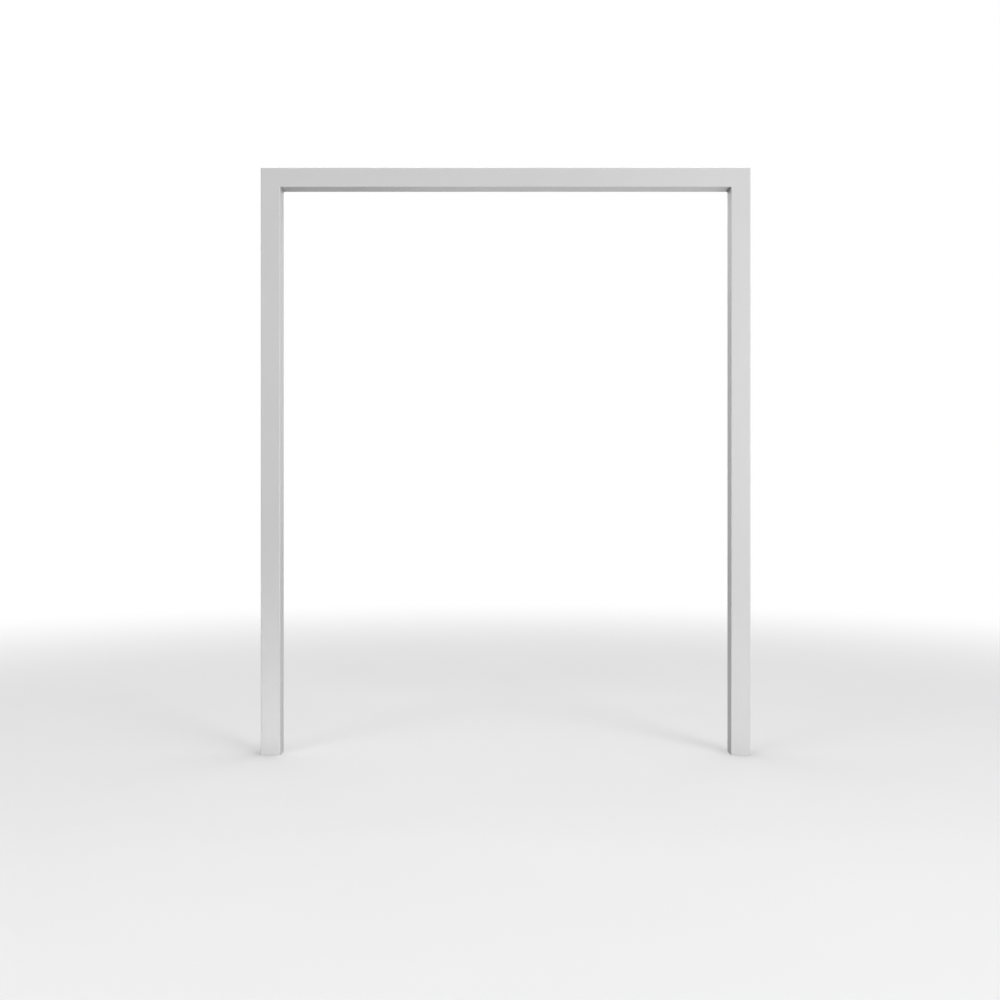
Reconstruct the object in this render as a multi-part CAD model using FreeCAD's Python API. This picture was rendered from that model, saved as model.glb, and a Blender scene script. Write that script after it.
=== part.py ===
import FreeCAD, Part

# Hoop bicycle rack of square tube, made to be cast into the ground.
#
# Two legs and a top rail are cut from one square hollow section and meet in
# mitres. Each mitred end is bevelled all round, so that two ends together make
# a V groove outside and butt on a thin square nose at the bore. The weld fills
# the groove and is dressed flush with the tube faces. In the inside corner,
# where no grinder reaches, it stands as a small crowned bead. The bore runs on
# through both mitres and is open at the feet, so zinc and water drain out.
#
# Millimetres and degrees. X runs across the hoop, Y through it and Z up. The
# origin is midway between the legs at the finished ground level, so the legs
# reach below it by the depth that is cast into their footings.

import math
import os

from FreeCAD import Placement, Rotation, Vector

# Overall size
hoop_width = 1000.0
height_above_ground = 820.0
depth_in_ground = 380.0

# Square hollow section that all three tubes are cut from
tube_side = 40.0
tube_wall = 3.0
tube_corner_radius = 2.0
sharpest_corner_radius = 0.3

# Mill seam of the section: a low ridge along the bore
seam_width = 3.0
seam_height = 0.6

# Sawn foot of each leg, with the burr taken off its outside edge
foot_chamfer = 0.5

# Mitre preparation, with the bevel measured from the mitre plane
bevel_angle = 30.0
nose_thickness = 1.0

# Bead left standing in the inside corner, with round ends that stop short of the tubes' round corners
bead_leg = 2.0
bead_crown = 0.3
bead_end_radius = 3.0
bead_end_setback = 0.2

# Places that follow from the sizes above
half_side = tube_side / 2
leg_offset = hoop_width / 2 - half_side
rail_height = height_above_ground - half_side
groove_depth = tube_wall - nose_thickness
groove_half_width = groove_depth * math.tan(math.radians(bevel_angle))

# Left mitre plane: its normal points from the leg to the rail, and inward is
# the direction in the plane from the outside corner to the inside corner
mitre_point = Vector(-leg_offset, 0, rail_height)
mitre_normal = Vector(math.sqrt(0.5), 0, math.sqrt(0.5))
mitre_inward = Vector(math.sqrt(0.5), 0, -math.sqrt(0.5))

# Blanks and cutting blocks run past what they have to clear by this much
spare = 2 * tube_side
leg_blank_length = depth_in_ground + height_above_ground + spare
rail_blank_length = hoop_width + 2 * spare
block_size = 2 * (leg_blank_length + rail_blank_length)

# How far an edge may lie off a level and still count as on it
level_tolerance = 0.01


def line(start, end):
    """Straight edge between two points."""
    return Part.LineSegment(start, end).toShape()


def arc(start, middle, end):
    """Round edge through three points."""
    return Part.Arc(start, middle, end).toShape()


def rounded_square(side, radius):
    """Closed outline of a square with rounded corners, centred on the Z axis."""
    half = side / 2
    flat = half - radius
    bend = flat + radius * math.sqrt(0.5)
    edges = []
    for quarter in range(4):
        turn = Rotation(Vector(0, 0, 1), 90 * quarter)
        side_start = turn.multVec(Vector(half, -flat, 0))
        side_end = turn.multVec(Vector(half, flat, 0))
        corner_middle = turn.multVec(Vector(bend, bend, 0))
        corner_end = turn.multVec(Vector(flat, half, 0))
        edges.append(line(side_start, side_end))
        edges.append(arc(side_end, corner_middle, corner_end))
    return Part.Wire(edges)


def bar(inset, length):
    """Solid bar up the Z axis, with the section's outline set in from its outside faces."""
    radius = max(tube_corner_radius - inset, sharpest_corner_radius)
    outline = rounded_square(tube_side - 2 * inset, radius)
    return Part.Face(outline).extrude(Vector(0, 0, length))


def mill_seam(length):
    """Round-backed ridge along the middle of the +X wall, from inside the wall into the bore."""
    wall_face = half_side - tube_wall
    wall_middle = half_side - tube_wall / 2
    near = -seam_width / 2
    far = seam_width / 2
    ridge = arc(Vector(wall_face, near, 0), Vector(wall_face - seam_height, 0, 0), Vector(wall_face, far, 0))
    far_side = line(Vector(wall_face, far, 0), Vector(wall_middle, far, 0))
    back = line(Vector(wall_middle, far, 0), Vector(wall_middle, near, 0))
    near_side = line(Vector(wall_middle, near, 0), Vector(wall_face, near, 0))
    outline = Part.Wire([ridge, far_side, back, near_side])
    return Part.Face(outline).extrude(Vector(0, 0, length))


def bore(length):
    """Hollow of the section: the space inside its walls, less the mill seam."""
    return bar(tube_wall, length).cut(mill_seam(length))


def stand_as_leg(blank):
    """Put an upright blank where the left leg stands, its seam wall towards the rail."""
    placed = blank.copy()
    placed.Placement = Placement(Vector(-leg_offset, 0, -depth_in_ground), Rotation())
    return placed


def lay_as_rail(blank):
    """Lay an upright blank where the rail runs, its seam wall underneath."""
    placed = blank.copy()
    start = Vector(-rail_blank_length / 2, 0, rail_height)
    placed.Placement = Placement(start, Rotation(Vector(0, 1, 0), 90))
    return placed


def leg_bar(inset):
    """Left leg as a solid bar that runs up past the mitre."""
    return stand_as_leg(bar(inset, leg_blank_length))


def rail_bar(inset):
    """Rail as a solid bar that runs past both mitres."""
    return lay_as_rail(bar(inset, rail_blank_length))


def mirrored(shape):
    """The same shape on the other side of the hoop's middle."""
    return shape.mirror(Vector(0, 0, 0), Vector(1, 0, 0))


def rail_side(distance):
    """Block that fills the rail's side of the plane at this distance past the left mitre."""
    block = Part.makeBox(block_size, block_size, block_size, Vector(-block_size / 2, -block_size / 2, 0))
    turn = Rotation(Vector(0, 0, 1), mitre_normal)
    block.Placement = Placement(mitre_point + mitre_normal * distance, turn)
    return block


def outline_at(solid_bar, distance):
    """Outline of a bar on the plane at this distance past the left mitre."""
    plane_distance = mitre_normal.dot(mitre_point) + distance
    return solid_bar.slice(mitre_normal, plane_distance)[0]


def bevelled_nose(bar_of, groove_edge_distance):
    """End of a bar between the groove's edge and the mitre, tapered by the bevel all round."""
    groove_edge = outline_at(bar_of(0), groove_edge_distance)
    nose_edge = outline_at(bar_of(groove_depth), 0)
    return Part.makeLoft([groove_edge, nose_edge], True, True)


def sawn_leg_bar():
    """Left leg's solid bar with the burr taken off the outside edge of its foot."""
    solid_bar = leg_bar(0)
    foot_level = level_tolerance - depth_in_ground
    foot_edges = [edge for edge in solid_bar.Edges if edge.BoundBox.ZMax < foot_level]
    return solid_bar.makeChamfer(foot_chamfer, foot_edges)


def left_leg():
    """Left leg: sawn square at the foot, mitred and bevelled at the top, bored through."""
    stem = sawn_leg_bar().cut(rail_side(-groove_half_width))
    nose = bevelled_nose(leg_bar, -groove_half_width)
    return stem.fuse(nose).cut(stand_as_leg(bore(leg_blank_length)))


def top_rail():
    """Top rail: mitred and bevelled at both ends, bored through."""
    past_left_groove = rail_side(groove_half_width)
    stem = rail_bar(0).common(past_left_groove).common(mirrored(past_left_groove))
    left_nose = bevelled_nose(rail_bar, groove_half_width)
    bevelled = stem.fuse([left_nose, mirrored(left_nose)])
    return bevelled.cut(lay_as_rail(bore(rail_blank_length)))


def groove_filling():
    """Weld metal in the left mitre's V groove, flush with the faces of both tubes."""
    leg_slice = leg_bar(0).common(rail_side(-groove_half_width)).cut(rail_side(0))
    leg_half = leg_slice.cut(bevelled_nose(leg_bar, -groove_half_width))
    rail_slice = rail_bar(0).common(rail_side(0)).cut(rail_side(groove_half_width))
    rail_half = rail_slice.cut(bevelled_nose(rail_bar, groove_half_width))
    return leg_half.fuse(rail_half)


def bead_run():
    """Crowned triangle in the left inside corner, run through the hoop and back into both tubes."""
    corner = mitre_point + Vector(half_side, -half_side, -half_side)
    on_leg = corner + Vector(0, 0, -bead_leg)
    on_rail = corner + Vector(bead_leg, 0, 0)
    crown = (on_leg + on_rail) * 0.5 + mitre_inward * bead_crown
    in_rail = on_rail + Vector(0, 0, half_side)
    in_both = corner + Vector(-half_side, 0, half_side)
    in_leg = on_leg + Vector(-half_side, 0, 0)
    back = Part.makePolygon([on_rail, in_rail, in_both, in_leg, on_leg])
    outline = Part.Wire([arc(on_leg, crown, on_rail)] + back.Edges)
    return Part.Face(outline).extrude(Vector(0, tube_side, 0))


def in_mitre_plane(inward, across):
    """Point of the left mitre plane, by its distances from the tube axes."""
    return mitre_point + mitre_inward * inward + Vector(0, across, 0)


def bead_shoulders():
    """Block with round shoulders that bring the bead's ends down onto the flat of both tubes."""
    crown = half_side * math.sqrt(2) + bead_leg * math.sqrt(0.5) + bead_crown
    top = crown + bead_crown
    side = half_side - tube_corner_radius - bead_end_setback
    bend = bead_end_radius * (1 - math.sqrt(0.5))
    near_arc = arc(
        in_mitre_plane(top - bead_end_radius, -side),
        in_mitre_plane(top - bend, bend - side),
        in_mitre_plane(top, bead_end_radius - side),
    )
    far_arc = arc(
        in_mitre_plane(top, side - bead_end_radius),
        in_mitre_plane(top - bend, side - bend),
        in_mitre_plane(top - bead_end_radius, side),
    )
    near_side = line(in_mitre_plane(0, -side), in_mitre_plane(top - bead_end_radius, -side))
    top_side = line(in_mitre_plane(top, bead_end_radius - side), in_mitre_plane(top, side - bead_end_radius))
    far_side = line(in_mitre_plane(top - bead_end_radius, side), in_mitre_plane(0, side))
    base = line(in_mitre_plane(0, side), in_mitre_plane(0, -side))
    outline = Part.Wire([near_side, near_arc, top_side, far_arc, far_side, base])
    block = Part.Face(outline).extrude(mitre_normal * tube_side)
    block.translate(mitre_normal * -half_side)
    return block


def corner_bead():
    """Bead left standing in the left inside corner, seated on both tubes."""
    return bead_run().common(bead_shoulders()).cut([leg_bar(0), rail_bar(0)])


def left_corner_weld():
    """Weld of the left mitre: the flush groove filling and the bead on it."""
    return groove_filling().fuse(corner_bead()).removeSplitter()


def hoop():
    """Every piece of the hoop, by its name."""
    leg = left_leg()
    weld = left_corner_weld()
    return {
        "left_leg": leg,
        "right_leg": mirrored(leg),
        "top_rail": top_rail(),
        "left_corner_weld": weld,
        "right_corner_weld": mirrored(weld),
    }


def save(name, shape):
    """Write a piece's one solid to its file and print what it measures."""
    if len(shape.Solids) != 1 or not shape.isValid():
        raise ValueError(f"{name} is not one valid solid")
    solid = shape.Solids[0]
    solid.exportStep(f"parts/{name}.step")
    low_x, low_y, low_z = solid.BoundBox.XMin, solid.BoundBox.YMin, solid.BoundBox.ZMin
    high_x, high_y, high_z = solid.BoundBox.XMax, solid.BoundBox.YMax, solid.BoundBox.ZMax
    corners = f"({low_x:.2f}, {low_y:.2f}, {low_z:.2f}) to ({high_x:.2f}, {high_y:.2f}, {high_z:.2f})"
    print(f"{name}: {solid.Volume:.1f} mm3, {corners}")


os.makedirs("parts", exist_ok=True)
for piece_name, piece in hoop().items():
    save(piece_name, piece)
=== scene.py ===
"""Visual model of a hoop bicycle rack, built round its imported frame.

The hoop is welded from one size of square tube: two legs and a top rail that meet in
mitres. Each tube is a closed surface, worked out from the section's outline and carried
between the planes that end it. Each mitre has its weld, dressed flush outside, and the
rippled bead that stands in the inside corner. A satin powder coat covers all of it, and
the bore keeps its bare zinc.

Metres, in the frame's axes: X across the hoop, Y through it and Z up, with the ground
that the hoop is set to at zero.
"""

import logging
import math
from collections.abc import Mapping
from dataclasses import dataclass
from enum import Enum
from typing import Any

import bpy
import numpy as np
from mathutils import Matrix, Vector


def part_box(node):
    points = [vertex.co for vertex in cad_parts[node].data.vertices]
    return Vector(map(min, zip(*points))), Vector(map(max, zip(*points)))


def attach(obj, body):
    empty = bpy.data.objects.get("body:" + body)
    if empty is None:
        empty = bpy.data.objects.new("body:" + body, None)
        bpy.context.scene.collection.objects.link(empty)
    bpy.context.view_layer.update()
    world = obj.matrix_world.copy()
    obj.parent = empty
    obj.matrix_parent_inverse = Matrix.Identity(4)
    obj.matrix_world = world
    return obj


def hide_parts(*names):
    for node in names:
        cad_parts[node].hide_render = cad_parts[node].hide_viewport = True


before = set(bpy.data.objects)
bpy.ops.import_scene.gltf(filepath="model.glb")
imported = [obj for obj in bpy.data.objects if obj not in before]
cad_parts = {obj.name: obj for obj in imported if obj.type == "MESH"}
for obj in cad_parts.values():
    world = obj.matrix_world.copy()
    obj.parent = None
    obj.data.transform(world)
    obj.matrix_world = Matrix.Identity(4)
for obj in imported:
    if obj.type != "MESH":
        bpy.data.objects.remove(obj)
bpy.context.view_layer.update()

log = logging.getLogger("hoop")

ROOT_BODY = "root"

ROOT_TWO = math.sqrt(2)
ACROSS = np.array((0.0, 1.0, 0.0))


# Surfaces


@dataclass
class Surface:
    """Closed surface of quads.

    Attributes:
        points: Place of each vertex, one row each.
        quads: Vertex numbers of each quad, one row each.
        finishes: Number of each quad's finish.
        rounding: For each vertex, 0 on a flat and up to 1 on a rounded edge.
    """

    points: np.ndarray
    quads: np.ndarray
    finishes: np.ndarray
    rounding: np.ndarray

    def facing_out(self) -> "Surface":
        """The same surface with its quads turned outwards.

        The volume inside is a sixth of the sum of a . (b x c) over triangles a, b, c. It is
        below zero where the quads face inwards, and then each quad's order is reversed.

        Returns:
            The surface, facing out.
        """
        a, b, c, d = (self.points[self.quads[:, corner]] for corner in range(4))
        halves = (a * np.cross(b, c)).sum() + (a * np.cross(c, d)).sum()
        if halves < 0:
            self.quads = self.quads[:, ::-1]
        return self


def ring_solid(rings: np.ndarray, finishes: np.ndarray, rounding: np.ndarray) -> Surface:
    """Closed surface over rings, each joined to the next and the last to the first.

    Vertex (i, j) is point j of ring i. Its quad joins (i, j), (i + 1, j), (i + 1, j + 1)
    and (i, j + 1), with both numbers going round.

    Args:
        rings: Places by ring, by point and by axis.
        finishes: Finish of the quads that start at each ring.
        rounding: Rounding of each ring's points, by ring and by point.

    Returns:
        The surface, facing out.
    """
    count, around = rings.shape[:2]
    numbers = np.arange(count * around).reshape(count, around)
    onward = np.roll(numbers, -1, axis=0)
    beside = np.roll(numbers, -1, axis=1)
    onward_beside = np.roll(onward, -1, axis=1)
    quads = np.stack((numbers, onward, onward_beside, beside), axis=-1)
    return Surface(
        rings.reshape(-1, 3),
        quads.reshape(-1, 4),
        np.repeat(finishes, around),
        rounding.reshape(-1),
    ).facing_out()


def strip(first: np.ndarray, second: np.ndarray) -> np.ndarray:
    """Quads between two rows of vertex numbers of the same length.

    Args:
        first: Numbers along one row.
        second: Numbers along the other.

    Returns:
        One quad for each step along the rows.
    """
    return np.stack((first[:-1], second[:-1], second[1:], first[1:]), axis=-1)


def slab(top: np.ndarray, bottom: np.ndarray) -> Surface:
    """Closed surface over two grids of the same size, joined round their rims.

    Args:
        top: Places of the upper grid, by row, by column and by axis.
        bottom: Places of the lower grid.

    Returns:
        The surface, facing out.
    """
    rows, columns = top.shape[:2]
    upper = np.arange(rows * columns).reshape(rows, columns)
    lower = upper + rows * columns
    faces = np.stack((upper[:-1, :-1], upper[:-1, 1:], upper[1:, 1:], upper[1:, :-1]), axis=-1)
    quads = np.concatenate((
        faces.reshape(-1, 4),
        faces.reshape(-1, 4)[:, ::-1] + rows * columns,
        strip(upper[0], lower[0]),
        strip(lower[-1], upper[-1]),
        strip(lower[:, 0], upper[:, 0]),
        strip(upper[:, -1], lower[:, -1]),
    ))
    points = np.concatenate((top.reshape(-1, 3), bottom.reshape(-1, 3)))
    return Surface(points, quads, np.zeros(len(quads), int), np.zeros(len(points))).facing_out()


def add_object(name: str, surface: Surface, materials: list[bpy.types.Material]) -> bpy.types.Object:
    """Make a surface into an object at the origin.

    Args:
        name: Name of the object and its mesh.
        surface: The surface.
        materials: Finishes, in the order that the surface numbers them.

    Returns:
        The object, linked to the scene.
    """
    sharpest_smooth_angle = math.radians(35)
    mesh = bpy.data.meshes.new(name)
    mesh.from_pydata(surface.points.tolist(), [], surface.quads.tolist())
    for material in materials:
        mesh.materials.append(material)
    mesh.polygons.foreach_set("material_index", surface.finishes.astype(np.int32))
    mesh.shade_smooth()
    mesh.set_sharp_from_angle(angle=sharpest_smooth_angle)
    rounding = mesh.attributes.new(PowderCoat.rounding_attribute, "FLOAT", "POINT")
    rounding.data.foreach_set("value", surface.rounding.astype(np.float32))
    mesh.update()
    made = bpy.data.objects.new(name, mesh)
    bpy.context.scene.collection.objects.link(made)
    return made


# Shader formulas


class Term:
    """Number on a shader socket, used in formulas as a float is."""

    def __init__(self, graph: "Graph", socket: bpy.types.NodeSocket) -> None:
        """Wrap a socket of a graph."""
        self.graph = graph
        self.socket = socket

    def _math(self, operation: str, *values: "Term | float") -> "Term":
        """Result of one Math node on these values."""
        node = self.graph.node("ShaderNodeMath", {"operation": operation}, dict(enumerate(values)))
        return Term(self.graph, node.outputs[0])

    def __add__(self, other: "Term | float") -> "Term":
        """Sum."""
        return self._math("ADD", self, other)

    __radd__ = __add__

    def __sub__(self, other: "Term | float") -> "Term":
        """Difference."""
        return self._math("SUBTRACT", self, other)

    def __rsub__(self, other: float) -> "Term":
        """Difference from a number."""
        return self._math("SUBTRACT", other, self)

    def __mul__(self, other: "Term | float") -> "Term":
        """Product."""
        return self._math("MULTIPLY", self, other)

    __rmul__ = __mul__

    def __truediv__(self, other: "Term | float") -> "Term":
        """Quotient."""
        return self._math("DIVIDE", self, other)

    def __pow__(self, other: "Term | float") -> "Term":
        """Power."""
        return self._math("POWER", self, other)

    def __abs__(self) -> "Term":
        """Size without the sign."""
        return self._math("ABSOLUTE", self)

    def rise(self, low: float, high: float) -> "Term":
        """Smooth step.

        Args:
            low: Value where the step starts.
            high: Value where it ends.

        Returns:
            0 below low, 1 above high and a smooth climb between them.
        """
        settings = {"interpolation_type": "SMOOTHSTEP"}
        inputs = {"Value": self, "From Min": low, "From Max": high}
        node = self.graph.node("ShaderNodeMapRange", settings, inputs)
        return Term(self.graph, node.outputs["Result"])


Input = Term | bpy.types.NodeSocket | float | tuple[float, ...]


@dataclass
class Graph:
    """Node tree of one material or of the surroundings."""

    tree: bpy.types.NodeTree

    def node(
        self,
        kind: str,
        settings: Mapping[str, Any] | None = None,
        inputs: Mapping[str | int, Input] | None = None,
    ) -> bpy.types.Node:
        """Add a node.

        Args:
            kind: Blender's name for the type of node.
            settings: Its settings, made first because they can change its sockets.
            inputs: Value or link of each socket, by name or by number.

        Returns:
            The node.
        """
        node = self.tree.nodes.new(kind)
        for name, value in (settings or {}).items():
            setattr(node, name, value)
        for name, value in (inputs or {}).items():
            self.feed(node.inputs[name], value)
        return node

    def feed(self, socket: bpy.types.NodeSocket, value: Input) -> None:
        """Give a socket a value, or link it to another socket.

        Args:
            socket: The socket to feed.
            value: Number, vector, colour, or what to link it to.
        """
        if isinstance(value, Term):
            self.tree.links.new(value.socket, socket)
        elif isinstance(value, bpy.types.NodeSocket):
            self.tree.links.new(value, socket)
        else:
            socket.default_value = value

    def place(self) -> bpy.types.NodeSocket:
        """Place in the object's own axes, in metres."""
        return self.node("ShaderNodeTexCoord").outputs["Object"]

    def axes(self, place: bpy.types.NodeSocket) -> tuple[Term, Term, Term]:
        """X, Y and Z of a place."""
        node = self.node("ShaderNodeSeparateXYZ", {}, {"Vector": place})
        return Term(self, node.outputs[0]), Term(self, node.outputs[1]), Term(self, node.outputs[2])

    def joined(self, x: Input, y: Input, z: Input) -> bpy.types.NodeSocket:
        """Vector with these three components."""
        return self.node("ShaderNodeCombineXYZ", {}, {"X": x, "Y": y, "Z": z}).outputs["Vector"]

    def noise(self, place: bpy.types.NodeSocket, size: float, detail: float = 2.0) -> Term:
        """Soft random pattern about 0.5.

        Args:
            place: Where to read it.
            size: Length of one swell of the pattern, in the place's unit.
            detail: How many finer layers lie on it.

        Returns:
            The pattern.
        """
        node = self.node("ShaderNodeTexNoise", {}, {"Vector": place, "Scale": 1 / size, "Detail": detail})
        return Term(self, node.outputs["Fac"])

    def attribute(self, name: str) -> Term:
        """Number that each vertex of the mesh carries."""
        return Term(self, self.node("ShaderNodeAttribute", {"attribute_name": name}).outputs["Fac"])

    def camera_ray(self) -> Term:
        """1 for what the camera sees itself and 0 for the light that the pieces get."""
        return Term(self, self.node("ShaderNodeLightPath").outputs["Is Camera Ray"])

    def mixed(self, share: Term, first: Input, second: Input) -> bpy.types.NodeSocket:
        """Colour between two colours.

        Args:
            share: 0 for all of the first and 1 for all of the second.
            first: A colour.
            second: Another colour.

        Returns:
            The mixed colour.
        """
        node = self.node("ShaderNodeMix", {"data_type": "RGBA"}, {"Factor": share, 6: first, 7: second})
        return node.outputs[2]

    def relief(self, height: Term) -> bpy.types.NodeSocket:
        """Shading normal of a shallow relief, from its height in metres."""
        return self.node("ShaderNodeBump", {}, {"Height": height, "Distance": 1.0}).outputs["Normal"]


def grey(tone: float) -> tuple[float, float, float, float]:
    """Neutral colour of this linear tone."""
    return (tone, tone, tone, 1.0)


def new_material(name: str) -> tuple[bpy.types.Material, Graph]:
    """Empty node material.

    Args:
        name: Name of the material.

    Returns:
        The material and its graph.
    """
    material = bpy.data.materials.new(name)
    material.use_nodes = True
    material.node_tree.nodes.clear()
    return material, Graph(material.node_tree)


# Finishes


@dataclass(frozen=True)
class PowderCoat:
    """Satin light grey powder coat.

    The melted powder lies in a fine orange peel over slower swells of the zinc beneath. Its
    tone drifts a little over a hand's width and is flecked at the size of the grains. On
    rounded edges the coat pulls thin and a touch smoother, and its tone is lifted there as a
    painted highlight. Along the mitres the weld was ground a little hollow, and its grinding
    marks show faintly through. The two inside corners carry painted shade, darker and a
    little rougher there, and the painted shade is weaker in the left corner than the right.
    """

    rounding_attribute = "rounding"

    tone: float = 0.6
    tone_drift: float = 0.03
    tone_fleck: float = 0.05
    # Painted highlight: the tone is lifted on rounded edges.
    edge_highlight: float = 0.08
    roughness: float = 0.4
    roughness_drift: float = 0.06
    edge_polish: float = 0.05
    specular_level: float = 0.5
    drift_size: float = 0.11
    fleck_size: float = 0.0009
    peel_size: float = 0.0016
    peel_height: float = 0.00007
    swell_size: float = 0.035
    swell_height: float = 0.0001
    mark_size: float = 0.0007
    mark_length: float = 0.012
    mark_height: float = 0.00005
    dressed_reach: tuple[float, float] = (0.002, 0.009)
    dressed_dip: float = 0.00008
    # Painted shade in the two inside corners, weaker in the left one.
    corner_shade_share: float = 0.72
    left_shade_cut: float = 0.32
    corner_shade_reach: float = 0.008
    corner_shade_size: float = 0.003
    corner_shade_rim: float = 0.004
    corner_shade_roughness: float = 0.25

    def material(self, hoop: "Hoop") -> bpy.types.Material:
        """Build the finish.

        The distance from a mitre plane is (leg - |x| + z - rail) / root 2, where leg is the
        leg's distance from the middle and rail the rail's height. It is below zero on the leg
        and above zero on the rail. The grinding marks run along the other diagonal. The
        painted shade in the inside corners fades with the distance from the line where the
        inside faces of the two tubes meet.

        Args:
            hoop: Where the mitres are.

        Returns:
            The material.
        """
        material, graph = new_material("grey_coat")
        place = graph.place()
        x, y, z = graph.axes(place)
        outward = hoop.leg_offset - abs(x)
        upward = z - hoop.rail_height
        distance = (outward + upward) / ROOT_TWO
        diagonal = (outward - upward) / ROOT_TWO
        dressed = 1 - abs(distance).rise(*self.dressed_reach)
        half_side = hoop.section.side / 2
        to_corner = ((outward - half_side) ** 2 + (upward + half_side) ** 2) ** 0.5
        rounding = graph.attribute(self.rounding_attribute)

        drift = graph.noise(place, self.drift_size, detail=3.0) - 0.5
        fleck = graph.noise(place, self.fleck_size, detail=1.0) - 0.5
        # Ragged rim of the painted corner shade.
        shade_blotch = graph.noise(place, self.corner_shade_size, detail=4.0) - 0.5
        # Painted shade in the inside corners: weaker on the left, fading towards the front and back faces and
        # away from the corner line.
        shade_cut_left = self.left_shade_cut * (1 - x.rise(-hoop.leg_offset, hoop.leg_offset))
        corner_shade_weight = (1 - abs(y).rise(half_side - self.corner_shade_rim, half_side)) * (1 - shade_cut_left)
        painted_corner_shade = corner_shade_weight * (1 - (to_corner + shade_blotch * self.corner_shade_size).rise(0, self.corner_shade_reach))
        # Random tone drift and flecks, plus the painted highlight on rounded edges.
        variation = drift * self.tone_drift + fleck * self.tone_fleck + rounding * self.edge_highlight
        # The painted corner shade darkens the tone.
        tone = self.tone * (1 + variation) * (1 - painted_corner_shade * self.corner_shade_share)

        swell = graph.noise(place, self.swell_size, detail=1.0)
        peel = graph.noise(place, self.peel_size)
        mark_place = graph.joined(diagonal / self.mark_length, y / self.mark_size, distance / self.mark_size)
        marks = graph.noise(mark_place, size=1.0)
        coat_height = peel * self.peel_height + swell * self.swell_height
        ground_height = dressed * (marks * self.mark_height - self.dressed_dip)

        worn = self.roughness + drift * self.roughness_drift - rounding * self.edge_polish
        # The coat is rougher under the painted corner shade.
        roughness = worn + painted_corner_shade * self.corner_shade_roughness
        shader = graph.node("ShaderNodeBsdfPrincipled", {}, {
            "Base Color": graph.joined(tone, tone, tone),
            "Roughness": roughness,
            "Specular IOR Level": self.specular_level,
            "Normal": graph.relief(coat_height + ground_height),
        })
        graph.node("ShaderNodeOutputMaterial", {}, {"Surface": shader.outputs["BSDF"]})
        return material


@dataclass(frozen=True)
class BareZinc:
    """Hot-dip zinc in the bore: grey crystals, each with its own tone and dullness."""

    dark_tone: float = 0.32
    light_tone: float = 0.52
    crystal_size: float = 0.007
    dullest: float = 0.62
    shiniest: float = 0.38
    skin_size: float = 0.0025
    skin_height: float = 0.00003

    def material(self) -> bpy.types.Material:
        """Build the finish.

        Returns:
            The material.
        """
        material, graph = new_material("bare_zinc")
        place = graph.place()
        inputs = {"Vector": place, "Scale": 1 / self.crystal_size}
        crystals = graph.node("ShaderNodeTexVoronoi", {"feature": "F1"}, inputs)
        channels = graph.node("ShaderNodeSeparateColor", {}, {"Color": crystals.outputs["Color"]})
        crystal = Term(graph, channels.outputs["Red"])
        skin = graph.noise(place, self.skin_size, detail=3.0)
        shader = graph.node("ShaderNodeBsdfPrincipled", {}, {
            "Base Color": graph.mixed(crystal, grey(self.dark_tone), grey(self.light_tone)),
            "Roughness": self.dullest + crystal * (self.shiniest - self.dullest),
            "Metallic": 1.0,
            "Normal": graph.relief(skin * self.skin_height),
        })
        graph.node("ShaderNodeOutputMaterial", {}, {"Surface": shader.outputs["BSDF"]})
        return material


class Finish(Enum):
    """Number of each finish on a piece."""

    COAT = 0
    ZINC = 1


# The hoop


@dataclass(frozen=True)
class Section:
    """Square hollow section that every tube is cut from.

    Its outline has two directions: inward, to the hoop's opening, and across, through the
    hoop. The mill seam is on the wall that faces the opening.
    """

    side: float
    wall: float = 0.003
    corner_radius: float = 0.002
    sharpest_radius: float = 0.0003
    seam_width: float = 0.003
    seam_height: float = 0.0006
    corner_steps: int = 14
    flat_start: float = 0.8
    flat_steps: int = 4
    seam_steps: int = 5
    flat_margin: float = 0.0004

    def outline(self, inset: float) -> np.ndarray:
        """Rounded square, set in from the outside faces.

        A corner's point at angle t is its centre plus the radius times (cos t, sin t). A flat
        side has points near both ends, even ones, and more over the middle for the seam. One
        quarter is turned by 90, 180 and 270 degrees for the others.

        Args:
            inset: Distance from the outside faces.

        Returns:
            Inward and across of each point, going round once.
        """
        radius = max(self.corner_radius - inset, self.sharpest_radius)
        reach = self.side / 2 - inset - radius
        angles = np.linspace(0, math.pi / 2, self.corner_steps + 1)
        corner = reach + radius * np.stack((np.cos(angles), np.sin(angles)), axis=-1)
        half = np.concatenate((
            [reach - self.flat_margin],
            np.linspace(self.flat_start * reach, self.seam_width, self.flat_steps),
            np.linspace(self.seam_width / 2, 0, self.seam_steps),
        ))
        along = np.concatenate((half, -half[-2::-1]))
        flat = np.stack((along, np.full(len(along), reach + radius)), axis=-1)
        quarter = np.concatenate((corner, flat))
        turns = [quarter, quarter[:, ::-1] * (-1, 1), -quarter, quarter[:, ::-1] * (1, -1)]
        return np.concatenate(turns)

    def bore(self) -> np.ndarray:
        """Outline of the bore, with the mill seam standing into it.

        The seam's height over its wall is its full height times 1 - (2 across / width) squared.

        Returns:
            Inward and across of each point, going round once.
        """
        points = self.outline(self.wall)
        on_seam_wall = points[:, 0] > self.side / 2 - self.wall - self.sharpest_radius / 2
        ridge = self.seam_height * np.clip(1 - (2 * points[:, 1] / self.seam_width) ** 2, 0, None)
        points[:, 0] -= np.where(on_seam_wall, ridge, 0)
        return points

    def rounding(self) -> np.ndarray:
        """How far each point of an outline is on a round corner.

        Returns:
            Sin 2t at the angle t of a corner, and 0 on the flats, going round once.
        """
        angles = np.linspace(0, math.pi / 2, self.corner_steps + 1)
        flat_points = 2 * (1 + self.flat_steps + self.seam_steps) - 1
        quarter = np.concatenate((np.sin(2 * angles), np.zeros(flat_points)))
        return np.tile(quarter, 4)


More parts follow.
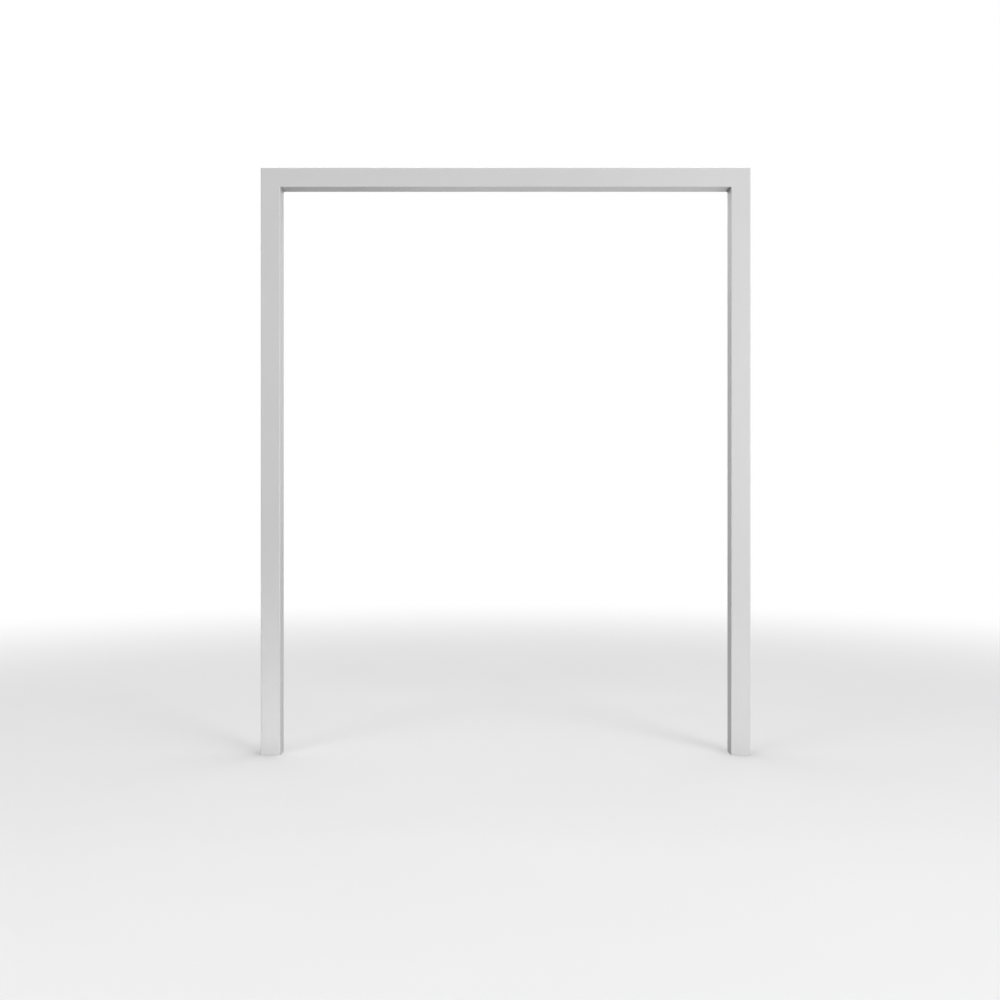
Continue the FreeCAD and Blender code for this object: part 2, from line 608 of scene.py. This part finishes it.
@dataclass(frozen=True)
class Hoop:
    """Places of the hoop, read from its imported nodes."""

    leg_offset: float
    rail_height: float
    foot_height: float
    section: Section

    @classmethod
    def from_frame(cls) -> "Hoop":
        """Read the boxes of the left leg and the rail.

        Returns:
            The hoop's places.
        """
        leg_low, leg_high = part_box("left_leg")
        rail_low, rail_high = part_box("top_rail")
        side = rail_high.z - rail_low.z
        return cls(
            leg_offset=-(leg_low.x + leg_high.x) / 2,
            rail_height=(rail_low.z + rail_high.z) / 2,
            foot_height=leg_low.z,
            section=Section(side=side),
        )


class Corner(Enum):
    """The hoop's two corners, by the side of the middle that they are on."""

    LEFT = -1
    RIGHT = 1


@dataclass(frozen=True)
class Mitre:
    """One mitre plane and the two tubes that meet on it.

    A place by the mitre has a distance from the plane, below zero on the leg and above zero
    on the rail, and a depth in the plane, which grows from the outside corner to the inside.
    """

    hoop: Hoop
    corner: Corner

    @property
    def point(self) -> np.ndarray:
        """Where the axes of the two tubes meet."""
        return np.array((self.corner.value * self.hoop.leg_offset, 0.0, self.hoop.rail_height))

    @property
    def along_leg(self) -> np.ndarray:
        """Direction of the leg, away from the mitre."""
        return np.array((0.0, 0.0, -1.0))

    @property
    def along_rail(self) -> np.ndarray:
        """Direction of the rail, away from the mitre."""
        return np.array((-float(self.corner.value), 0.0, 0.0))

    def place(self, distance: np.ndarray | float, depth: np.ndarray, across: np.ndarray) -> np.ndarray:
        """Points by the mitre.

        Args:
            distance: Distance of each from the mitre plane.
            depth: Depth of each in the plane.
            across: Place of each across the tubes.

        Returns:
            The points in the frame's axes.
        """
        normal = (self.along_rail - self.along_leg) / ROOT_TWO
        inward = (self.along_rail + self.along_leg) / ROOT_TWO
        distance, depth, across = np.broadcast_arrays(distance, depth, across)
        steps = distance[..., None] * normal + depth[..., None] * inward + across[..., None] * ACROSS
        return self.point + steps

    def ring(self, outline: np.ndarray, distance: float) -> np.ndarray:
        """Outline of a tube cut by the plane at this distance from the mitre.

        A line along either tube, at a distance inward from its axis, meets that plane at the
        depth root 2 x inward + |distance|.

        Args:
            outline: Inward and across of each point.
            distance: Distance of the plane, below zero on the leg.

        Returns:
            The ring's points.
        """
        return self.place(distance, ROOT_TWO * outline[:, 0] + abs(distance), outline[:, 1])

    def leg_ring(self, outline: np.ndarray, height: float) -> np.ndarray:
        """Outline of the leg cut level.

        Args:
            outline: Inward and across of each point.
            height: Height of the cut.

        Returns:
            The ring's points.
        """
        drop = self.hoop.rail_height - height
        ends = outline[:, :1] * self.along_rail + outline[:, 1:] * ACROSS
        return self.point + ends + drop * self.along_leg


@dataclass(frozen=True)
class Groove:
    """Weld preparation of every mitred end."""

    depth: float = 0.002
    bevel_angle: float = math.radians(30)

    @property
    def half_width(self) -> float:
        """Distance of the groove's edge from the mitre."""
        return self.depth * math.tan(self.bevel_angle)


@dataclass(frozen=True)
class Leg:
    """One leg: sawn foot, long stem, bevelled mitre at the top, and the bore through it."""

    mitre: Mitre
    groove: Groove
    foot_chamfer: float = 0.0005
    foot_steps: int = 5
    stem_steps: int = 24

    @property
    def node(self) -> str:
        """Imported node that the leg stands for."""
        return f"{self.mitre.corner.name.lower()}_leg"

    def surface(self) -> Surface:
        """Rings up the outside, over the nose and down the bore.

        The foot's edge is a quarter circle: at angle t its inset is the chamfer x (1 - sin t)
        and its height over the foot is the chamfer x (1 - cos t).

        Returns:
            The closed surface.
        """
        section = self.mitre.hoop.section
        foot = self.mitre.hoop.foot_height
        edge = []
        for angle in np.linspace(0, math.pi / 2, self.foot_steps):
            inset = self.foot_chamfer * (1 - math.sin(angle))
            lift = self.foot_chamfer * (1 - math.cos(angle))
            edge.append(self.mitre.leg_ring(section.outline(inset), foot + lift))
        top = self.mitre.ring(section.outline(0), -self.groove.half_width)
        stem = np.linspace(edge[-1], top, self.stem_steps + 1)[1:]
        nose = self.mitre.ring(section.outline(self.groove.depth), 0)
        bore_top = self.mitre.ring(section.bore(), 0)
        bore_foot = self.mitre.leg_ring(section.bore(), foot)
        rings = np.concatenate((edge, stem, [nose, bore_top, bore_foot]))
        finishes = np.full(len(rings), Finish.COAT.value)
        finishes[-3:-1] = Finish.ZINC.value
        rounding = np.tile(section.rounding(), (len(rings), 1))
        return ring_solid(rings, finishes, rounding)

    def build(self, materials: list[bpy.types.Material]) -> bpy.types.Object:
        """Make the leg's object and let it stand for its node.

        Args:
            materials: Finishes, in the order that they are numbered.

        Returns:
            The leg's object.
        """
        tube = add_object(f"{self.node}_tube", self.surface(), materials)
        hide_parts(self.node)
        return tube


@dataclass(frozen=True)
class Rail:
    """The top rail: a bevelled mitre at each end and the bore through it."""

    left: Mitre
    right: Mitre
    groove: Groove
    run_steps: int = 20
    node: str = "top_rail"

    def surface(self) -> Surface:
        """Rings along the outside from left to right and back along the bore.

        Returns:
            The closed surface.
        """
        section = self.left.hoop.section
        outside = section.outline(0)
        nose = section.outline(self.groove.depth)
        bore = section.bore()
        run = np.linspace(
            self.left.ring(outside, self.groove.half_width),
            self.right.ring(outside, self.groove.half_width),
            self.run_steps + 1,
        )
        ends = [
            self.right.ring(nose, 0),
            self.right.ring(bore, 0),
            self.left.ring(bore, 0),
            self.left.ring(nose, 0),
        ]
        rings = np.concatenate((run, ends))
        finishes = np.full(len(rings), Finish.COAT.value)
        finishes[len(run):] = Finish.ZINC.value
        rounding = np.tile(section.rounding(), (len(rings), 1))
        return ring_solid(rings, finishes, rounding)

    def build(self, materials: list[bpy.types.Material]) -> bpy.types.Object:
        """Make the rail's object and let it stand for its node.

        Args:
            materials: Finishes, in the order that they are numbered.

        Returns:
            The rail's object.
        """
        tube = add_object(f"{self.node}_tube", self.surface(), materials)
        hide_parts(self.node)
        return tube


@dataclass(frozen=True)
class CornerWeld:
    """Weld of one mitre: the dressed filling of the groove and the bead in the inside corner."""

    mitre: Mitre
    groove: Groove
    dressed_radius: float = 0.001
    filling_steps: int = 18
    bead_leg: float = 0.002
    bead_crown: float = 0.0003
    bead_end_radius: float = 0.003
    bead_end_setback: float = 0.0002
    bead_root: float = 0.0008
    ripple_pitch: float = 0.0012
    ripple_height: float = 0.00012
    ripple_bow: float = 0.9
    ripple_fullness: float = 0.7
    ripple_middle: float = 0.6
    slow_wander: float = 0.25
    slow_length: float = 0.0071
    quick_wander: float = 0.18
    quick_length: float = 0.0029
    quick_start: float = 1.3
    bead_rows: int = 360
    bead_columns: int = 24

    @property
    def node(self) -> str:
        """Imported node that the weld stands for."""
        return f"{self.mitre.corner.name.lower()}_corner_weld"

    def filling(self) -> Surface:
        """Weld metal in the groove, its outside rounded over the mitre's corner.

        At the distance s from the mitre, the outside lies deeper than the outline's corner by
        |s|, or by (s squared + r squared) / 2r where |s| is below the dressed radius r. The
        last ring is the root of the groove.

        Returns:
            The closed surface.
        """
        section = self.mitre.hoop.section
        outside = section.outline(0)
        root = section.outline(self.groove.depth)
        distances = np.linspace(-self.groove.half_width, self.groove.half_width, self.filling_steps + 1)
        radius = self.dressed_radius
        rounded = (distances**2 + radius**2) / (2 * radius)
        deeper = np.where(np.abs(distances) < radius, rounded, np.abs(distances))
        depths = ROOT_TWO * outside[None, :, 0] + deeper[:, None]
        skin = self.mitre.place(distances[:, None], depths, outside[None, :, 1])
        rings = np.concatenate((skin, self.mitre.ring(root, 0)[None]))
        finishes = np.full(len(rings), Finish.COAT.value)
        rounding = np.tile(section.rounding(), (len(rings), 1))
        return ring_solid(rings, finishes, rounding)

    def bead(self) -> Surface:
        """Rippled bead in the inside corner.

        The tubes' faces lie at the depth root 2 x half the side + |s|. The bead stands on them
        by a shallow arc less |s|, which tapers at each end by a quarter ellipse. The ripples are
        |sin| waves that bow with s squared, and two slower waves make their pitch wander.

        Returns:
            The closed surface.
        """
        section = self.mitre.hoop.section
        half_side = section.side / 2
        reach = half_side - section.corner_radius - self.bead_end_setback
        toe = self.bead_leg / ROOT_TWO
        across = np.linspace(-reach, reach, self.bead_rows + 1)[:, None]
        distance = np.linspace(-toe, toe, self.bead_columns + 1)[None, :]
        faces = ROOT_TWO * half_side + np.abs(distance)

        arc_radius = (toe**2 + self.bead_crown**2) / (2 * self.bead_crown)
        arc = toe + self.bead_crown - arc_radius + np.sqrt(arc_radius**2 - distance**2)
        into_end = np.clip(np.abs(across) - (reach - self.bead_end_radius), 0, None) / self.bead_end_radius
        taper = np.sqrt(1 - into_end**2)
        stand = (arc - np.abs(distance)) * taper

        share = distance / toe
        slow = self.slow_wander * np.sin(across / self.slow_length)
        quick = self.quick_wander * np.sin(across / self.quick_length + self.quick_start)
        phase = across / self.ripple_pitch + self.ripple_bow * share**2 + slow + quick
        wave = np.abs(np.sin(math.pi * phase)) ** self.ripple_fullness - self.ripple_middle
        ripple = self.ripple_height * wave * (1 - share**2) * taper

        top = self.mitre.place(distance, faces + stand + ripple, across)
        bottom = self.mitre.place(distance, faces - self.bead_root, across)
        return slab(top, bottom)

    def build(self, materials: list[bpy.types.Material]) -> list[bpy.types.Object]:
        """Make the filling and the bead and let both stand for the weld's node.

        Args:
            materials: Finishes, in the order that they are numbered.

        Returns:
            The two objects.
        """
        side = self.mitre.corner.name.lower()
        filling = add_object(f"{side}_mitre_filling", self.filling(), materials[:1])
        bead = add_object(f"{side}_inside_bead", self.bead(), materials[:1])
        for piece in (filling, bead):
            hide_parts(self.node)
        return [filling, bead]


# The studio


@dataclass(frozen=True)
class PhotoCamera:
    """Level camera straight in front, placed by what the photograph measures.

    Attributes:
        width_pixels: Width of the photograph.
        hoop_left: Pixel column of the hoop's left face.
        hoop_right: Pixel column of its right face.
        hoop_top: Pixel row of the rail's top face.
        lens: Focal length in millimetres.
        sensor: Width of the sensor in millimetres.
    """

    width_pixels: float = 1000.0
    hoop_left: float = 260.65
    hoop_right: float = 750.7
    hoop_top: float = 167.3
    lens: float = 42.0
    sensor: float = 36.0

    def build(self, hoop: Hoop) -> bpy.types.Object:
        """Place the camera.

        The hoop's real width over its width in pixels is the length of a pixel at its front
        face. The picture's width there, times lens over sensor, is the distance. The camera
        looks straight ahead through the middle of the picture.

        Args:
            hoop: The hoop that the photograph shows.

        Returns:
            The camera's object.
        """
        half_side = hoop.section.side / 2
        width = 2 * (hoop.leg_offset + half_side)
        pixel = width / (self.hoop_right - self.hoop_left)
        distance = self.width_pixels * pixel * self.lens / self.sensor
        middle = self.width_pixels / 2
        x = (middle - (self.hoop_left + self.hoop_right) / 2) * pixel
        z = hoop.rail_height + half_side - (middle - self.hoop_top) * pixel
        data = bpy.data.cameras.new("photo_camera")
        data.lens = self.lens
        data.sensor_width = self.sensor
        camera = bpy.data.objects.new("photo_camera", data)
        camera.location = (x, -half_side - distance, z)
        camera.rotation_euler = (math.pi / 2, 0, 0)
        bpy.context.scene.collection.objects.link(camera)
        bpy.context.scene.camera = camera
        return camera


@dataclass(frozen=True)
class Softbox:
    """Large soft lamp that the camera doesn't see.

    Attributes:
        name: Name of the lamp.
        stands_at: Place of its middle.
        points_at: Place that it faces.
        width: Width of its front.
        height: Height of its front.
        watts: Power.
        spread: Angle that its light spreads over, less than a half turn behind a grid.
    """

    name: str
    stands_at: tuple[float, float, float]
    points_at: tuple[float, float, float]
    width: float
    height: float
    watts: float
    spread: float = math.pi

    def build(self) -> bpy.types.Object:
        """Place the lamp.

        Returns:
            The lamp's object.
        """
        data = bpy.data.lights.new(self.name, "AREA")
        data.shape = "RECTANGLE"
        data.size = self.width
        data.size_y = self.height
        data.energy = self.watts
        data.spread = self.spread
        lamp = bpy.data.objects.new(self.name, data)
        lamp.location = self.stands_at
        aim = Vector(self.points_at) - Vector(self.stands_at)
        lamp.rotation_euler = aim.to_track_quat("-Z", "Y").to_euler()
        lamp.visible_camera = False
        bpy.context.scene.collection.objects.link(lamp)
        return lamp


SOFTBOXES = (
    Softbox("key_softbox", (2.6, -3.4, 0.5), (0.0, 0.0, 0.3), 1.6, 1.6, 104.5),
    Softbox("fill_softbox", (-2.6, -3.4, 0.8), (0.0, 0.0, 0.3), 1.6, 1.6, 34.3),
    Softbox("rim_softbox", (-1.2, 4.0, 2.0), (0.0, 0.0, 0.5), 2.0, 1.2, 8.5),
    Softbox("overhead_softbox", (0.0, 0.0, 3.2), (0.0, 0.0, 0.0), 2.4, 2.4, 70.0),
    Softbox("card_on_the_floor", (0.4, 1.95, -0.36), (0.4, 1.95, 1.0), 1.6, 1.2, 27.0, math.radians(150)),
    Softbox("low_strip", (0.0, -3.0, -0.2), (0.0, 0.0, -0.5), 2.4, 0.2, 0.6, math.radians(20)),
    Softbox("low_left_strip", (-0.7, -3.0, -0.2), (-0.55, 0.0, -0.5), 0.8, 0.2, 0.2, math.radians(20)),
)


@dataclass(frozen=True)
class Surroundings:
    """White studio walls, which light the hoop by a dimmer dome.

    The dome is brighter overhead, to the right and behind the hoop.

    Attributes:
        seen_tone: Tone of the walls to the camera.
        overhead_tone: Tone that the dome reaches overhead.
        rightward_tone: Tone that is added on the right.
        rearward_tone: Tone that is added behind the hoop.
        upward_span: Half the span of the rise from below to overhead.
        sideward_span: Half the span of the rise from left to right.
        rearward_span: Span of the rise towards the back.
    """

    seen_tone: float = 1.0
    overhead_tone: float = 0.24
    rightward_tone: float = 0.18
    rearward_tone: float = 0.44
    upward_span: float = 0.4
    sideward_span: float = 0.6
    rearward_span: float = 0.8

    def build(self) -> None:
        """Make the walls and the dome.

        In the direction (x, y, z) the dome's tone is the sum of the rightward tone times a
        smooth step of x, the rearward tone times one of y and the overhead tone times one of z.
        """
        world = bpy.data.worlds.new("studio_walls")
        world.use_nodes = True
        world.node_tree.nodes.clear()
        bpy.context.scene.world = world
        graph = Graph(world.node_tree)
        x, y, z = graph.axes(graph.node("ShaderNodeTexCoord").outputs["Generated"])
        from_right = self.rightward_tone * x.rise(-self.sideward_span, self.sideward_span)
        from_behind = self.rearward_tone * y.rise(0, self.rearward_span)
        from_above = self.overhead_tone * z.rise(-self.upward_span, self.upward_span)
        tone = from_right + from_behind + from_above
        seen = graph.node("ShaderNodeBackground", {}, {"Color": grey(self.seen_tone), "Strength": 1.0})
        dome = graph.joined(tone, tone, tone)
        light = graph.node("ShaderNodeBackground", {}, {"Color": dome, "Strength": 1.0})
        to_camera = graph.camera_ray()
        shown = graph.node("ShaderNodeMixShader", {}, {0: to_camera, 1: light.outputs[0], 2: seen.outputs[0]})
        graph.node("ShaderNodeOutputWorld", {}, {"Surface": shown.outputs[0]})


@dataclass(frozen=True)
class Floor:
    """Round pale floor under the feet, which fades into the white walls."""

    height: float
    radius: float = 9.0
    spokes: int = 96
    circles: int = 24
    seen_tone: float = 0.76
    light_tone: float = 0.4
    mottle: float = 0.03
    mottle_size: float = 0.4
    fade_start: float = 0.7
    fade_end: float = 3.6

    def surface(self) -> tuple[np.ndarray, np.ndarray]:
        """Circles round the middle, each wider than the last.

        Point (i, j) is at the radius R x (i / n) squared and the angle 2 pi j / m.

        Returns:
            The points, and the quads between them.
        """
        shares = np.linspace(0, 1, self.circles + 1)[1:] ** 2
        angles = np.linspace(0, 2 * math.pi, self.spokes, endpoint=False)
        x = self.radius * shares[:, None] * np.cos(angles)
        y = self.radius * shares[:, None] * np.sin(angles)
        points = np.stack((x, y, np.full_like(x, self.height)), axis=-1)
        numbers = np.arange(x.size).reshape(x.shape)
        onward = np.roll(numbers, -1, axis=1)
        quads = np.stack((numbers[:-1], numbers[1:], onward[1:], onward[:-1]), axis=-1)
        return points.reshape(-1, 3), quads.reshape(-1, 4)

    def material(self) -> bpy.types.Material:
        """Pale matt floor with a faint mottle, which the camera sees turn white far away.

        Returns:
            The material.
        """
        material, graph = new_material("pale_floor")
        place = graph.place()
        x, y, _ = graph.axes(place)
        far = ((x * x + y * y) ** 0.5).rise(self.fade_start, self.fade_end)
        to_camera = graph.camera_ray()
        tone = self.light_tone + to_camera * (self.seen_tone - self.light_tone)
        mottled = tone * (1 + (graph.noise(place, self.mottle_size, detail=4.0) - 0.5) * self.mottle)
        matt = graph.node("ShaderNodeBsdfDiffuse", {}, {"Color": graph.joined(mottled, mottled, mottled)})
        white = graph.node("ShaderNodeEmission", {}, {"Color": grey(1.0), "Strength": 1.0})
        whitened = far * to_camera
        shown = graph.node("ShaderNodeMixShader", {}, {0: whitened, 1: matt.outputs[0], 2: white.outputs[0]})
        graph.node("ShaderNodeOutputMaterial", {}, {"Surface": shown.outputs[0]})
        return material

    def build(self) -> bpy.types.Object:
        """Lay the floor.

        Returns:
            The floor's object.
        """
        points, quads = self.surface()
        middle = list(range(self.spokes))
        mesh = bpy.data.meshes.new("pale_floor")
        mesh.from_pydata(points.tolist(), [], [middle] + quads.tolist())
        mesh.materials.append(self.material())
        floor = bpy.data.objects.new("pale_floor", mesh)
        bpy.context.scene.collection.objects.link(floor)
        return floor


def main() -> None:
    """Build the hoop and its studio."""
    logging.basicConfig(level=logging.INFO, format="%(name)s: %(message)s")
    hoop = Hoop.from_frame()
    groove = Groove()
    left = Mitre(hoop, Corner.LEFT)
    right = Mitre(hoop, Corner.RIGHT)
    materials = [PowderCoat().material(hoop), BareZinc().material()]

    pieces = [Leg(left, groove).build(materials), Leg(right, groove).build(materials)]
    pieces.append(Rail(left, right, groove).build(materials))
    pieces.extend(CornerWeld(left, groove).build(materials))
    pieces.extend(CornerWeld(right, groove).build(materials))
    for piece in pieces:
        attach(piece, ROOT_BODY)
        log.info("%s: %d faces", piece.name, len(piece.data.polygons))

    Floor(height=hoop.foot_height).build()
    Surroundings().build()
    for softbox in SOFTBOXES:
        softbox.build()
    PhotoCamera().build(hoop)
    bpy.context.scene.view_settings.view_transform = "Standard"


if __name__ == "__main__":
    main()
